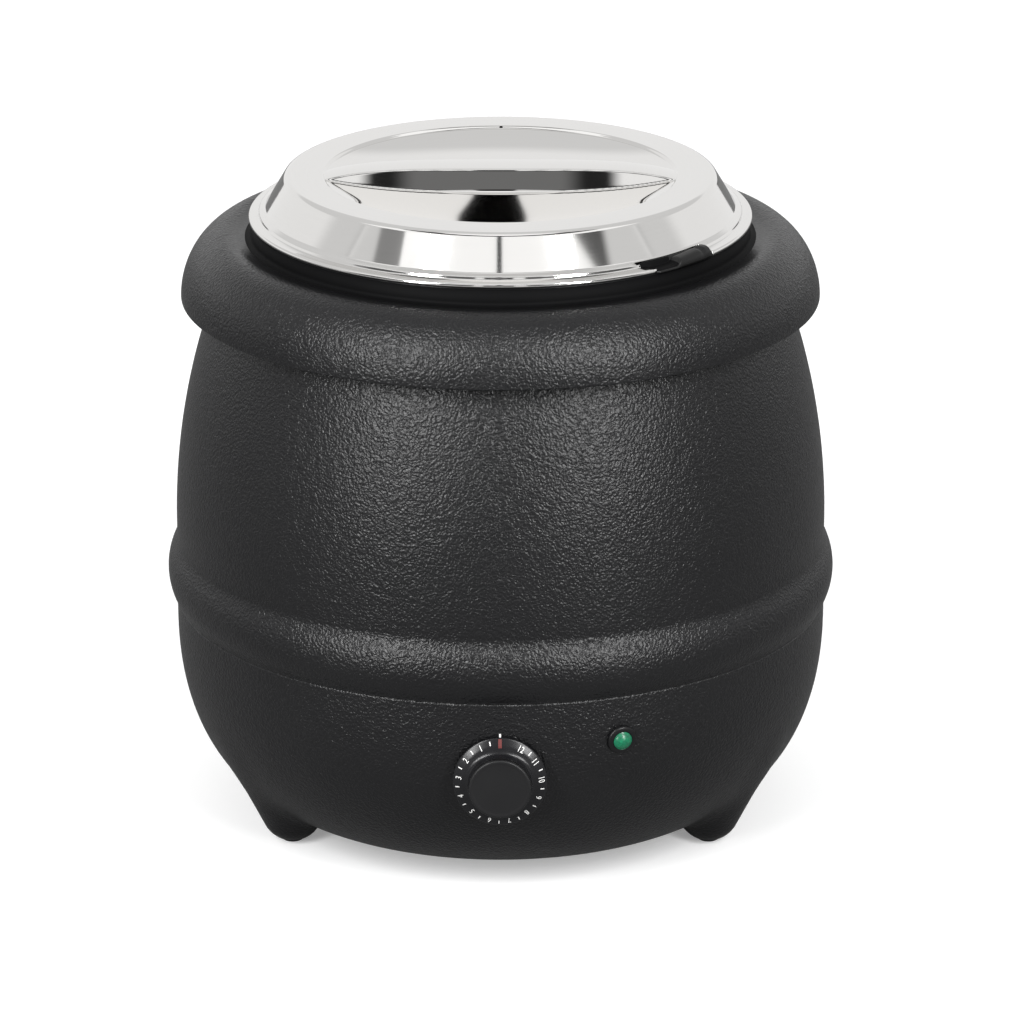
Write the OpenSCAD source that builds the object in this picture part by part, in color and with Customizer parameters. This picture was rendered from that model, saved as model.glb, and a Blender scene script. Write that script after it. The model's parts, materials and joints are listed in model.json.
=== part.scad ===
// Electric soup kettle: a black cast body on three feet, a water bath heated from below,
// a lift-out soup pot and a drawn steel lid with a bridge grip and a ladle notch.
// Origin on the floor under the kettle's axis, front towards -Y, +Z up.

/* [Body] */
// Largest radius of the barrel wall
barrel_r = 165.5; // [164:0.5:167]
// Height at which the barrel is widest
barrel_z = 155; // [150:1:160]
// Radius of the barrel's side arc, seen from the side
barrel_arc = 341; // [320:1:380]
// Wall of the upper cast shell
shell_wall = 2.5; // [2:0.25:3]
// Height of the seam between lower and upper shell
seam_z = 115; // [114:0.5:116]
// How far the waist bulge stands out
bulge_out = 4.6; // [3:0.2:5]
// Height of the waist bulge
bulge_h = 30; // [28:1:31]

/* [Collar] */
// Largest radius of the collar
collar_r = 160.8; // [159:0.2:162]
// Radius at which the collar is highest
crest_r = 138; // [136:0.5:140]
// Height of the collar's crest
crest_z = 305.5; // [305:0.25:306]
// Height of the collar's widest line
collar_z = 272; // [271:0.5:273]

/* [Base] */
// Largest radius of the lower shell
belly_r = 166; // [165:0.25:166]
// Height of the flat underside
belly_z = 10; // [9:0.5:11]
// Distance of the feet from the axis
foot_r = 122.5; // [120:0.5:123]
// Radius of a foot's round end
foot_end = 16; // [15.5:0.1:16.5]
// Number of feet
foot_count = 3; // [3:1:3]

/* [Lid] */
// Outer radius of the rolled rim
lid_r = 126.3; // [126.2:0.1:126.6]
// Radius at the foot of the cone
cone_r = 117.7; // [117.5:0.1:118]
// Radius where the flat ring bends down into the cone
shoulder_r = 105.4; // [104:0.1:106]
// Radius of the dish in the top
dish_r = 87; // [84:0.5:88]
// Height of the flat ring of the lid
lid_top = 335.5; // [334:0.5:336]
// Depth of the dish
dish_d = 5; // [4:0.25:6]
// Height of the grip above the flat ring
grip_h = 4.5; // [3:0.25:5]
// Direction of the ladle notch, from the front to the right
notch_turn = 44; // [40:1:48]

/* [Pot] */
// Outer radius of the soup pot
pot_r = 118; // [117.5:0.25:118.5]
// Height of the pot's bottom above the floor
pot_z = 88; // [84:1:100]
// Inner radius of the water bath
bath_r = 121; // [120.75:0.25:121]

/* [Controls] */
// Height of the dial above the floor
dial_z = 76; // [75:0.5:77]
// Radius of the dial skirt
dial_r = 24; // [22:0.25:24]
// Radius of the dial's grip cap
cap_r = 15.2; // [14:0.2:16]
// Height of the pilot lamp
lamp_z = 92; // [90:0.5:94]
// Direction of the pilot lamp, from the front to the right
lamp_turn = 21.6; // [19:0.2:25]

/* [Hidden] */
$fn = 96;
gap = 0.1;                      // clearance between pieces that only rest together
steel_t = 0.8;                  // sheet of pot, bath and lid
bulge_top = seam_z + bulge_h;
belly_mid = 97;                 // radius where the belly turns into the flat underside
belly_top = 106;                // height where the lower shell stands upright
belly_power = 2.1;              // power of the belly's superellipse
belly_wall = 3;
base_open = 84;                 // radius of the service opening
plate_r = 92.6;
plate_z = belly_z + 0.4;
plate_t = 1.6;
ledge_z = plate_z + plate_t;
ledge_top = 17;
base_screw_r = 88;
neck_r = 125.4;                 // collar's neck under the lid
neck_in = 122.3;
neck_z = 310;                   // ledge that carries the bath's flange
neck_top = 312.9;               // top of the neck's outer wall, just under the lid's rim
neck_wall = 1.5;
flange_z = 285;                 // top flange of the upper shell
flange_in = 127;
rod_r = 133;                    // circle of the tie rods and collar screws
gasket_t = 1.5;
bath_flange = neck_z + gasket_t;
bath_flange_r = neck_r - neck_wall - gap;
bath_floor = 66;
bath_corner = 20;
pot_flange = bath_flange + steel_t + gap;
pot_flange_r = 123.3;
pot_corner = 25;
heat_t = 4;
heat_top = bath_floor - steel_t;
heat_z = heat_top - heat_t;     // underside of the heat plate
coil_r = 75;
coil_wire = 4.25;
coil_z = heat_z - coil_wire;
coil_gap = 8;                   // half the gap between the element's ends, in degrees
clamp_t = 2.2;
clamp_z = coil_z - coil_wire - clamp_t;
stud_x = 50;
nut_h = 3.2;
nut_r = 4.6;
shield_t = 0.8;
shield_z = clamp_z - nut_h - shield_t;
shield_r = 98;
face_y = 165.6;                 // dial boss and cord boss: distance of the face from the axis
boss_wall = 4;
dial_boss_r = 23;
cord_boss_r = 15;
cord_y = 178.5;                 // end of the cord gland
cord_bore = 4.2;
lamp_wall = 165.7;
lamp_tilt = 7.6;
shoulder_bend = 3.8;             // outer radius of the lid's bend at the shoulder
foot_half = 30.6;               // half angle of a foot's cone
foot_lean = 4.6;
foot_cone = 38;                 // length of the cone above the round end's centre
foot_neck = 20;                 // straight part above the cone, which dives into the belly
pad_z = 1.5;
grip_half = 8;
grip_draft = 15;
grip_end = 84;
notch_half = 10.8;              // half the width of the ladle trim, in degrees
trim_in = 118.4;
trim_out = 127.2;
trim_z = 313.7;
trim_top = 319.6;
trough_half = 18;
trough_d = 5;

// ---- outlines ----

// Radius of the barrel's outer face at height z
function barrel(z) = barrel_r - barrel_arc + sqrt(barrel_arc * barrel_arc - pow(z - barrel_z, 2));

// Outer face of the upper shell: straight chord of the bulge plus a round arc standing on it
function bulge(z) = let (h = bulge_h / 2, r = (h * h + bulge_out * bulge_out) / 2 / bulge_out,
                         chord = belly_r + (barrel(bulge_top) - belly_r) * (z - seam_z) / bulge_h)
    chord + sqrt(r * r - pow(z - seam_z - h, 2)) - (r - bulge_out);
function shell_face(z) = z < bulge_top ? bulge(z) : barrel(z);

// Quarter superellipse from the crest or flat (r0, z0 + b) out to (r0 + a, z0)
function quarter(r0, z0, a, b, power, n) =
    [for (i = [0:n]) [r0 + a * pow(sin(90 * i / n), 2 / power), z0 + b * pow(cos(90 * i / n), 2 / power)]];
function arc(cx, cz, r, a0, a1, n) =
    [for (i = [0:n]) [cx + r * cos(a0 + (a1 - a0) * i / n), cz + r * sin(a0 + (a1 - a0) * i / n)]];
function back(list) = [for (i = [len(list) - 1:-1:0]) list[i]];

// Half outline of the belly: flat underside, round corner and upright wall, moved in by inset
function belly(inset, top) = concat(
    [[0, belly_z + inset]],
    quarter(belly_mid, belly_top, belly_r - belly_mid - inset, belly_z + inset - belly_top, belly_power, 26),
    [[belly_r - inset, top], [0, top]]);

// Closed outline of a sheet of thickness t under an open path that runs outwards
function unit(v) = v / norm(v);
function sheet(path, t) = let (n = len(path) - 1) concat(path,
    back([for (i = [0:n]) let (d = unit(path[min(i + 1, n)] - path[max(i - 1, 0)]))
      path[i] + t * [d[1], -d[0]]]));

// Dish of the lid: paraboloid below the dish's edge
dish_edge = lid_top - 1.5;
function dish(r) = dish_edge - dish_d * (1 - pow(r / dish_r, 2));
lid_path = concat(
    [for (r = [0:dish_r / 12:dish_r - 1]) [r, dish(r)]],
    [[dish_r, dish_edge + 0.1], [dish_r + 0.8, lid_top - 0.5], [dish_r + 2, lid_top]],
    arc(shoulder_r, lid_top - shoulder_bend, shoulder_bend, 88, 31, 8),
    [[cone_r, 318.3], [119.2, 317.5], [120.9, 316.9], [121.7, 315.6], [124.6, 315.3]]);

// ---- small helpers ----

// Copies children to n places on a circle, the first at angle a0
module around(n, a0) {
  for (i = [0:n - 1])
    rotate([0, 0, a0 + 360 * i / n]) children();
}

module tube(r_out, r_in, z0, z1) {
  difference() {
    translate([0, 0, z0]) cylinder(r = r_out, h = z1 - z0);
    translate([0, 0, z0 - 1]) cylinder(r = r_in, h = z1 - z0 + 2);
  }
}

module disc(r, z0, z1) {
  translate([0, 0, z0]) cylinder(r = r, h = z1 - z0);
}

module hex_nut(r_bore) {
  difference() {
    cylinder(r = nut_r, h = nut_h, $fn = 6);
    translate([0, 0, -1]) cylinder(r = r_bore, h = nut_h + 2, $fn = 32);
  }
}

// Local +Z points out of the wall, with its zero on the boss face or the wall
module at_dial() {
  translate([0, -face_y, dial_z]) rotate([90, 0, 0]) children();
}

module at_cord() {
  translate([0, face_y, dial_z]) rotate([-90, 0, 0]) children();
}

module at_lamp() {
  rotate([0, 0, lamp_turn]) translate([0, -lamp_wall, lamp_z]) rotate([90 + lamp_tilt, 0, 0]) children();
}

// ---- shells ----

module collar_ring() {
  roof = crest_z - 2.6;
  color("dimgray") difference() {
    union() {
      rotate_extrude($fn = 180) polygon(concat(
        [[neck_in, neck_z], [neck_r - neck_wall, neck_z], [neck_r - neck_wall, neck_top], [neck_r, neck_top],
         [neck_r, 305.2], [127.4, 304], [131, 304.5], [134.5, 305.2]],
        quarter(crest_r, collar_z, collar_r - crest_r, crest_z - collar_z, 1.9, 18),
        [[collar_r - 0.5, collar_z - 1.3], [collar_r - 1.9, collar_z - 2], [145.4, collar_z - 0.6],
         [145.4, collar_z + 1.4]],
        back(quarter(crest_r, collar_z + 1.4, collar_r - crest_r - 2.9, roof - collar_z - 1.4, 1.9, 14)),
        [[130, 301.6], [neck_in, 301.2]]));
      around(4, 0) translate([rod_r, 0, 0]) disc(4.5, flange_z + shell_wall, 302.4, $fn = 32);
    }
    around(4, 0) translate([rod_r, 0, 0]) disc(1.95, flange_z, 299, $fn = 32);
  }
}

module upper_shell() {
  z_low = seam_z + 0.2;
  levels = concat([for (i = [0:12]) z_low + (bulge_top - z_low) * i / 12],
                  [for (i = [1:16]) bulge_top + (flange_z + shell_wall - bulge_top) * i / 16]);
  inner = [for (z = back(levels)) if (z < flange_z) [shell_face(z) - shell_wall, z]];
  color("dimgray") difference() {
    rotate_extrude($fn = 180) polygon(concat(
      [for (z = levels) [shell_face(z), z]],
      [[flange_in, flange_z + shell_wall], [flange_in, flange_z], [barrel(flange_z) - shell_wall, flange_z]],
      inner));
    around(4, 45) translate([rod_r, 0, 0]) disc(2.7, flange_z - 1, flange_z + 4, $fn = 32);
    around(4, 0) translate([rod_r, 0, 0]) disc(2.1, flange_z - 1, flange_z + 4, $fn = 32);
  }
}

// Round-ended cone of one solid foot, leaning in at the top
module foot() {
  low = -foot_end * sin(foot_half);
  low_r = foot_end * cos(foot_half);
  top_r = low_r + (foot_cone - low) * tan(foot_half);
  translate([foot_r, 0, foot_end]) rotate([0, -foot_lean, 0]) {
    sphere(r = foot_end);
    translate([0, 0, low]) cylinder(r1 = low_r, r2 = top_r, h = foot_cone - low);
    translate([0, 0, foot_cone - gap]) cylinder(r = top_r, h = foot_neck);
  }
}

module lower_shell() {
  top = seam_z - 0.4;
  color("dimgray") difference() {
    union() {
      difference() {
        union() {
          rotate_extrude($fn = 180) polygon(belly(0, top));
          around(foot_count, 90) foot();
          at_dial() disc(dial_boss_r, -60, 0);
          at_cord() disc(cord_boss_r, -60, 0);
        }
        rotate_extrude($fn = 180) polygon(belly(belly_wall, top + 1));
        at_dial() disc(dial_boss_r - 4, -60, -boss_wall);
        at_cord() disc(cord_boss_r - 4, -60, -boss_wall);
        at_dial() disc(dial_r + 1, 0, 20);
        translate([-200, -200, -20]) cube([400, 400, 20 + pad_z]);
      }
      tube(belly_mid, base_open, ledge_z, ledge_top, $fn = 180);
      tube(belly_r - belly_wall + gap, belly_r - 2 * belly_wall, belly_top - 2, seam_z + 7, $fn = 180);
      around(4, 45) translate([rod_r, 0, 0]) disc(6, 30, 56, $fn = 32);
    }
    disc(base_open, 0, 30, $fn = 180);
    disc(plate_r + 0.4, 0, ledge_z, $fn = 180);
    around(foot_count, 90) translate([foot_r, 0, 0]) disc(2.6, -1, 8, $fn = 32);
    around(4, 45) translate([rod_r, 0, 0]) disc(2.55, 40, 57, $fn = 32);
    around(6, 0) translate([base_screw_r, 0, 0]) disc(1.7, 0, ledge_top - 1, $fn = 32);
    at_dial() disc(5.2, -10, 5, $fn = 48);
    for (x = [-13, 13]) at_dial() translate([x, 0, 0]) disc(1.9, -10, 5, $fn = 32);
    for (x = [-13, 13]) at_dial() translate([x, 0, 0]) disc(3.6, -2, 5, $fn = 32);
    at_cord() disc(8.15, -10, 5, $fn = 64);
    at_lamp() disc(5, -12, 5, $fn = 48);
  }
}

module foot_pads() {
  color("black") around(foot_count, 90) translate([foot_r, 0, 0]) {
    disc(6.2, 0, pad_z, $fn = 48);
    disc(2.5, 0, 6, $fn = 32);
  }
}

module base_plate() {
  color("silver") difference() {
    disc(plate_r, plate_z, ledge_z, $fn = 180);
    around(6, 0) translate([base_screw_r, 0, 0]) disc(1.8, 0, 20, $fn = 32);
    around(12, 15) translate([68, -2, 0]) cube([12, 4, 20]);
    around(8, 15) translate([20, -2, 0]) cube([12, 4, 20]);
  }
}

module base_screws() {
  color("gray") around(6, 0) translate([base_screw_r, 0, 0]) {
    disc(3.4, plate_z - 1.6, plate_z, $fn = 32);
    disc(1.6, plate_z - 1, ledge_top - 2, $fn = 32);
  }
}

module tie_rods() {
  color("gray") around(4, 45) translate([rod_r, 0, 0]) disc(2.5, 42, flange_z + 9, $fn = 32);
}

module tie_nuts() {
  color("gray") around(4, 45) translate([rod_r, 0, flange_z + shell_wall]) hex_nut(2.55);
}

module collar_screws() {
  color("gray") around(4, 0) translate([rod_r, 0, 0]) {
    disc(3.8, flange_z - 2.6, flange_z, $fn = 32);
    disc(1.85, flange_z - 1, 298, $fn = 32);
  }
}

// ---- water bath and heating ----

// Half outline of a flat-bottomed drawn vessel: outer radius r, floor underside z0, flange on top
module vessel(r, z0, corner, flange, r_flange) {
  rotate_extrude($fn = 180) polygon(concat(
    [[0, z0], [r - corner, z0]],
    arc(r - corner, z0 + corner, corner, -90, 0, 8),
    [[r, flange], [r_flange, flange], [r_flange, flange + steel_t], [r - steel_t, flange + steel_t]],
    arc(r - corner, z0 + corner, corner - steel_t, 0, -90, 8),
    [[0, z0 + steel_t]]));
}

module water_pan() {
  color("silver") vessel(bath_r + steel_t, bath_floor - steel_t, bath_corner, bath_flange, bath_flange_r);
}

module pan_gasket() {
  color("darkgray") tube(bath_flange_r, bath_r + steel_t + 2 * gap, neck_z, bath_flange, $fn = 180);
}

module insulation() {
  color("ivory") tube(130, bath_r + steel_t + 0.4, 112, 278, $fn = 120);
}

module heat_plate() {
  color("lightgray") disc(95, heat_z, heat_top, $fn = 120);
}

module heating_element() {
  turn = 360 - 2 * coil_gap;
  color("slategray") {
    rotate([0, 0, 90 + coil_gap]) rotate_extrude(angle = turn)
      translate([coil_r, coil_z - 0.02]) circle(r = coil_wire, $fn = 32);
    for (s = [-1, 1]) rotate([0, 0, 90 + s * coil_gap]) translate([coil_r, 0, 0]) {
      translate([0, 0, coil_z - 0.02]) sphere(r = coil_wire, $fn = 32);
      disc(coil_wire, 38, coil_z - 0.02, $fn = 32);
      disc(1.5, 30, 39, $fn = 24);
    }
  }
}

module element_clamp() {
  color("silver") difference() {
    translate([-coil_r - 9, -8, clamp_z]) cube([2 * coil_r + 18, 16, clamp_t - 0.05]);
    for (x = [-stud_x, stud_x]) translate([x, 0, 0]) disc(2.6, clamp_z - 1, clamp_z + 4, $fn = 32);
  }
}

module clamp_studs() {
  color("gray") for (x = [-stud_x, stud_x])
    translate([x, 0, 0]) disc(2.5, shield_z - nut_h - 2, heat_z, $fn = 32);
}

module clamp_nuts() {
  color("gray") for (x = [-stud_x, stud_x], z = [clamp_z - nut_h, shield_z - nut_h])
    translate([x, 0, z]) hex_nut(2.55);
}

module reflector() {
  color("silver") difference() {
    union() {
      disc(shield_r, shield_z, shield_z + shield_t, $fn = 120);
      tube(shield_r, shield_r - shield_t, shield_z - 5.5, shield_z + 0.1, $fn = 120);
    }
    for (x = [-stud_x, stud_x]) translate([x, 0, 0]) disc(2.7, 0, 60, $fn = 32);
    for (s = [-1, 1]) rotate([0, 0, 90 + s * coil_gap]) translate([coil_r, 0, 0]) disc(7, 0, 60, $fn = 32);
  }
}

// ---- thermostat and electrics ----

module thermostat() {
  color("beige") at_dial() difference() {
    union() {
      translate([-18, -16, -36]) cube([36, 32, 23.8]);
      disc(17, -13, -boss_wall);
      disc(5, -boss_wall - 1, 0.8, $fn = 48);
      for (x = [-8, 0, 8]) translate([x - 3, -4.4, -44]) cube([6, 0.8, 9]);
    }
    disc(3.05, -18, 2, $fn = 48);
    for (x = [-13, 13]) translate([x, 0, 0]) disc(1.7, -14, 0, $fn = 32);
  }
}

module thermostat_screws() {
  color("gray") for (x = [-13, 13]) at_dial() translate([x, 0, 0]) {
    disc(3.4, -2, -0.3, $fn = 32);
    disc(1.65, -13, -1, $fn = 32);
  }
}

// Tube swept along points p: one ring of n corners square to the path at each point
module wire(p, r, n) {
  last = len(p) - 1;
  function way(i) = unit(p[min(i + 1, last)] - p[max(i - 1, 0)]);
  function side(i) = unit(cross(way(i), [0.31, 0.17, 0.93]));
  rings = [for (i = [0:last]) let (s = side(i), u = cross(way(i), s))
    for (k = [0:n - 1]) p[i] + r * (cos(360 * k / n) * s + sin(360 * k / n) * u)];
  skin = [for (i = [0:last - 1], k = [0:n - 1])
    let (a = i * n + k, b = i * n + (k + 1) % n) [a, a + n, b + n, b]];
  ends = [[for (k = [0:n - 1]) k], [for (k = [n - 1:-1:0]) last * n + k]];
  polyhedron(points = rings, faces = concat(skin, ends));
}

supply_route = [[-18, 43.9, 20], [-18, 36, 20], [-34, 12, 22], [-60, -40, 24], [-62, -78, 30],
                [-44, -106, 44], [-20, -112, 56], [-9, -118, 67], [-8, -118.9, 70.6], [-8, -119.9, 72],
                [-8, -121.5, 72]];
heater_route = [[8, -121.5, 72], [8, -119.9, 72], [8, -118.9, 70.6], [9, -118, 67], [24, -112, 56],
                [60, -98, 32], [92, -50, 30],
                [102, 0, 30], [88, 48, 30], [46, 82, 26], [18, 82, 23], [10.4, 74.3, 26], [10.4, 74.3, 30]];
return_route = [[-10.4, 74.3, 30], [-10.4, 74.3, 25], [-10.2, 71, 19], [-10, 68, 18], [-10, 64.1, 18]];
lamp_route = [[52.3, -130.4, 95.2], [51, -126.5, 90], [55, -118, 70], [54, -104, 42], [44, -50, 28],
              [24, 10, 22], [18, 36, 20], [18, 43.9, 20]];

module internal_wires() {
  color("firebrick") {
    wire(supply_route, 1.2, 8);
    wire(heater_route, 1.2, 8);
    wire(return_route, 1.2, 8);
    wire(lamp_route, 1.2, 8);
  }
}

capillary_route = [[-38, -50.05, 58.2], [-38, -53, 58.2], [-38, -58, 54], [-39, -63, 50.5], [-42, -74, 49.6],
                   [-48, -96, 49.6], [-42, -110, 54], [-30, -117.5, 66], [-20, -122.5, 77], [-14, -125, 81.4],
                   [-12, -127, 82], [-12, -129.5, 82]];

module capillary() {
  color("peru") wire(capillary_route, 0.8, 8);
}

module sensor_bulb() {
  color("peru") translate([-38, -50, 58.2]) rotate([-90, 0, 0]) cylinder(r = 3, h = 70, $fn = 32);
}

module bulb_clip() {
  color("silver") translate([-38, -12, 0]) rotate([90, 0, 0]) linear_extrude(height = 10) difference() {
    union() {
      translate([0, 58.2]) circle(r = 4, $fn = 48);
      translate([-10, heat_z - 1]) square([20, 0.98]);
    }
    translate([0, 58.2]) circle(r = 3.05, $fn = 48);
    translate([-12, heat_z - 0.02]) square([24, 8]);
  }
}

module thermal_cutout() {
  color("saddlebrown") translate([30, -34, 0]) {
    disc(8, heat_z - 9, heat_z - 0.02, $fn = 48);
    translate([-13, -3, heat_z - 1]) cube([26, 6, 0.98]);
    for (x = [-4, 4]) translate([x - 0.4, -2.5, heat_z - 13]) cube([0.8, 5, 5]);
  }
}

module terminal_block() {
  color("wheat") difference() {
    translate([-27, 44, ledge_z]) cube([54, 20, 15]);
    for (x = [-18, 0, 18], y = [49, 59]) translate([x, y, 0]) disc(2, ledge_z + 8, 40, $fn = 32);
    translate([9, 54, 0]) disc(1.9, ledge_z - 1, 40, $fn = 32);
  }
}

module terminal_screws() {
  color("gold") for (x = [-18, 0, 18], y = [49, 59])
    translate([x, y, 0]) disc(1.9, ledge_z + 8, ledge_z + 13, $fn = 32);
}

module earth_stud() {
  color("gold") translate([48, -30, 0]) {
    disc(4.5, ledge_z, ledge_z + 0.9, $fn = 48);
    disc(2, ledge_z, ledge_z + 12, $fn = 32);
    disc(3.8, ledge_z + 3, ledge_z + 6, $fn = 6);
  }
}

module lamp_bezel() {
  color("black") at_lamp() rotate_extrude($fn = 64)
    polygon([[4.7, -11], [4.9, -11], [4.9, 0], [7.4, 0], [7.4, 1], [6.6, 2], [5.4, 2.3], [4.7, 1.6]]);
}

module lamp_lens() {
  color("green") at_lamp() rotate_extrude($fn = 64)
    polygon(concat([[0, -3], [4.6, -3], [4.6, 2.2]], arc(0, -0.9, 5.54, 34, 90, 7)));
}

module lamp_body() {
  color("ivory") at_lamp() disc(4.5, -24, -3.02, $fn = 48);
}

module cord_gland() {
  color("black") at_cord() difference() {
    rotate_extrude($fn = 64)
      polygon([[0, -14], [8, -14], [8, 0], [11, 0], [11, 2.6], [9.6, 3.4], [8, 4],
               [6.6, cord_y - face_y - 0.8], [5.8, cord_y - face_y], [0, cord_y - face_y]]);
    disc(cord_bore, -15, 20, $fn = 64);
  }
}

module gland_nut() {
  color("black") at_cord() difference() {
    disc(10.4, -boss_wall - 5, -boss_wall, $fn = 6);
    disc(8.05, -20, 5, $fn = 64);
  }
}

// ---- dial ----

module thermostat_shaft() {
  color("silver") at_dial() difference() {
    disc(3, -17, 9, $fn = 48);
    translate([-4, 2.4, 3]) cube([8, 4, 8]);
  }
}

module dial_skirt() {
  color("black") at_dial() rotate_extrude($fn = 120)
    polygon([[3, 1.6], [dial_r, 1.6], [dial_r, 2.4], [dial_r - 4.4, 4.4], [dial_r - 7.2, 5.4], [cap_r, 6.6],
             [cap_r, 9.5], [3, 9.5], [3, 7.1], [3.9, 7.1], [3.9, 4.9], [3, 4.9]]);
}

module knob_cap() {
  color("black") at_dial() rotate_extrude($fn = 120)
    polygon([[0, 9.5], [cap_r, 9.5], [cap_r, 12], [cap_r - 0.3, 12.5], [cap_r - 0.9, 12.8], [0, 12.8]]);
}

module knob_clip() {
  color("silver") at_dial() translate([0, 0, 5]) rotate([0, 0, 120]) rotate_extrude(angle = 300, $fn = 48)
    translate([3.05, 0]) square([0.75, 2]);
}

// ---- pot and lid ----

module soup_pot() {
  color("lightgray") vessel(pot_r, pot_z, pot_corner, pot_flange, pot_flange_r);
}

// Bridge of the lid: drafted bar along X under a long arch, moved in by inset
module bridge(inset) {
  arch_r = (grip_end * grip_end + grip_h * grip_h) / 2 / grip_h;
  half = grip_half - inset;
  top = lid_top + grip_h;
  z_low = lid_top - 16;
  low_half = half + (top - z_low) * tan(grip_draft);
  intersection() {
    translate([-grip_end - 10, 0, 0]) rotate([90, 0, 90]) linear_extrude(height = 2 * grip_end + 20)
      polygon([[-low_half, z_low], [low_half, z_low], [half - 1.2, top - 0.1], [half - 2.4, top + 1],
               [2.4 - half, top + 1], [1.2 - half, top - 0.1]]);
    translate([0, 50, top - arch_r - inset]) rotate([90, 0, 0])
      cylinder(r = arch_r, h = 100, $fn = 360);
    disc(dish_r - inset, 300, 360, $fn = 180);
  }
}

module lid() {
  color("gainsboro") difference() {
    union() {
      rotate_extrude($fn = 180) polygon(sheet(lid_path, steel_t));
      rotate_extrude($fn = 180) translate([lid_r - 1.3, 314.4]) circle(r = 1.3, $fn = 24);
      intersection() {
        bridge(0);
        rotate_extrude($fn = 180) polygon(concat(
          [for (r = [0:dish_r / 12:dish_r]) [r, dish(r) - steel_t / 2]], [[dish_r, 350], [0, 350]]));
      }
    }
    bridge(steel_t);
    rotate([0, 0, notch_turn - 90 - notch_half - 0.2])
      rotate_extrude(angle = 2 * notch_half + 0.4, $fn = 180)
        translate([trim_in - 0.2, 310]) square([20, 15]);
  }
}

module ladle_trim() {
  trough_r = (trough_half * trough_half + trough_d * trough_d) / 2 / trough_d;
  color("black") rotate([0, 0, notch_turn - 90]) difference() {
    rotate([0, 0, -notch_half]) rotate_extrude(angle = 2 * notch_half, $fn = 180)
      polygon([[trim_in, trim_z], [trim_out, trim_z], [trim_out, trim_top - 1.6],
               [trim_out - 1.2, trim_top - 0.3], [trim_out - 2.6, trim_top], [trim_in, trim_top]]);
    translate([100, 0, trim_top - trough_d + trough_r]) rotate([0, 90, 0])
      cylinder(r = trough_r, h = 40, $fn = 180);
  }
}

collar_ring();
upper_shell();
lower_shell();
foot_pads();
base_plate();
base_screws();
water_pan();
pan_gasket();
insulation();
heat_plate();
heating_element();
element_clamp();
clamp_studs();
clamp_nuts();
reflector();
thermostat();
thermostat_screws();
capillary();
sensor_bulb();
bulb_clip();
thermal_cutout();
terminal_block();
terminal_screws();
earth_stud();
internal_wires();
lamp_bezel();
lamp_lens();
lamp_body();
cord_gland();
gland_nut();
tie_rods();
tie_nuts();
collar_screws();
thermostat_shaft();
dial_skirt();
knob_cap();
knob_clip();
soup_pot();
lid();
ladle_trim();
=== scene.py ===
import json
import math
import bmesh
import bpy
import numpy as np
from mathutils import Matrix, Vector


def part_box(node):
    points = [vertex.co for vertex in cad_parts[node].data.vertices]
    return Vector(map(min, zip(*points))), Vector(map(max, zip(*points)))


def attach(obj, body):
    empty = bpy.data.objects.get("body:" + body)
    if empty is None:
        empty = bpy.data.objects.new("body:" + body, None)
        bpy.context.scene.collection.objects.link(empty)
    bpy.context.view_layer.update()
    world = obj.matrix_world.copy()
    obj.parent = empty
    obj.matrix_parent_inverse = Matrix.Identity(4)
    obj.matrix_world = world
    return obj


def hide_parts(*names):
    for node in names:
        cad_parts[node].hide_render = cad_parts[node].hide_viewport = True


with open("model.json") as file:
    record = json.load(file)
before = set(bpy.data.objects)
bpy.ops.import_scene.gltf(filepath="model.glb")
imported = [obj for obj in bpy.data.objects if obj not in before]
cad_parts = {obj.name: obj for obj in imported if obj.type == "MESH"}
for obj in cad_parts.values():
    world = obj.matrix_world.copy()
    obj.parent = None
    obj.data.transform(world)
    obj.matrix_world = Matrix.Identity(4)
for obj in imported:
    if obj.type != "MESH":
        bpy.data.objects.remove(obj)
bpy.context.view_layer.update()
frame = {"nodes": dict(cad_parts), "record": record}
scene = bpy.context.scene
mm = 0.001  # every size below is in millimetres, like the frame's drawing


# Soft maximum of two fields, rounded over a width k
def softMax(a, b, k):
    h = np.clip(0.5 + 0.5 * (a - b) / k, 0.0, 1.0)
    return b + (a - b) * h + k * h * (1.0 - h)


def softMin(a, b, k):
    return -softMax(-a, -b, k)


def smoothStep(low, high, x):
    t = np.clip((x - low) / (high - low), 0.0, 1.0)
    return t * t * (3.0 - 2.0 * t)


# Circle arc from angle a0 to a1 in degrees, as (r, z) points
def arc(r, z, radius, a0, a1, count):
    a = np.radians(np.linspace(a0, a1, count))
    return np.stack([r + radius * np.cos(a), z + radius * np.sin(a)], -1)


# Quarter superellipse: r grows by a as sin^(2/p), z falls by b as cos^(2/p)
def quarter(r0, z0, a, b, power, count):
    t = np.linspace(0.0, math.pi / 2, count)
    return np.stack([r0 + a * np.sin(t) ** (2 / power), z0 + b * np.cos(t).clip(0) ** (2 / power)], -1)


# Profile points spread evenly along its own length
def evenly(path, step):
    path = np.asarray(path, float)
    run = np.concatenate([[0.0], np.cumsum(np.hypot(*np.diff(path, axis=0).T))])
    keep = np.concatenate([[True], np.diff(run) > 1e-6])
    s = np.linspace(0.0, run[-1], max(3, int(run[-1] / step)))
    return np.stack([np.interp(s, run[keep], path[keep, i]) for i in (0, 1)], -1)


# Rounds each inner corner of a polyline with a quadratic curve that starts and ends `reach` from it
def eased(path, reach, steps=5):
    p = np.asarray(path, float)
    done = [p[:1]]
    t = np.linspace(0.0, 1.0, steps)[:, None]
    for before, at, after in zip(p[:-2], p[1:-1], p[2:]):
        a, b = before - at, after - at
        a, b = (v * min(reach, 0.48 * np.hypot(*v)) / max(np.hypot(*v), 1e-9) for v in (a, b))
        done.append(at + a * (1 - t) ** 2 + b * t ** 2)
    return np.vstack(done + [p[-1:]])


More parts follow.
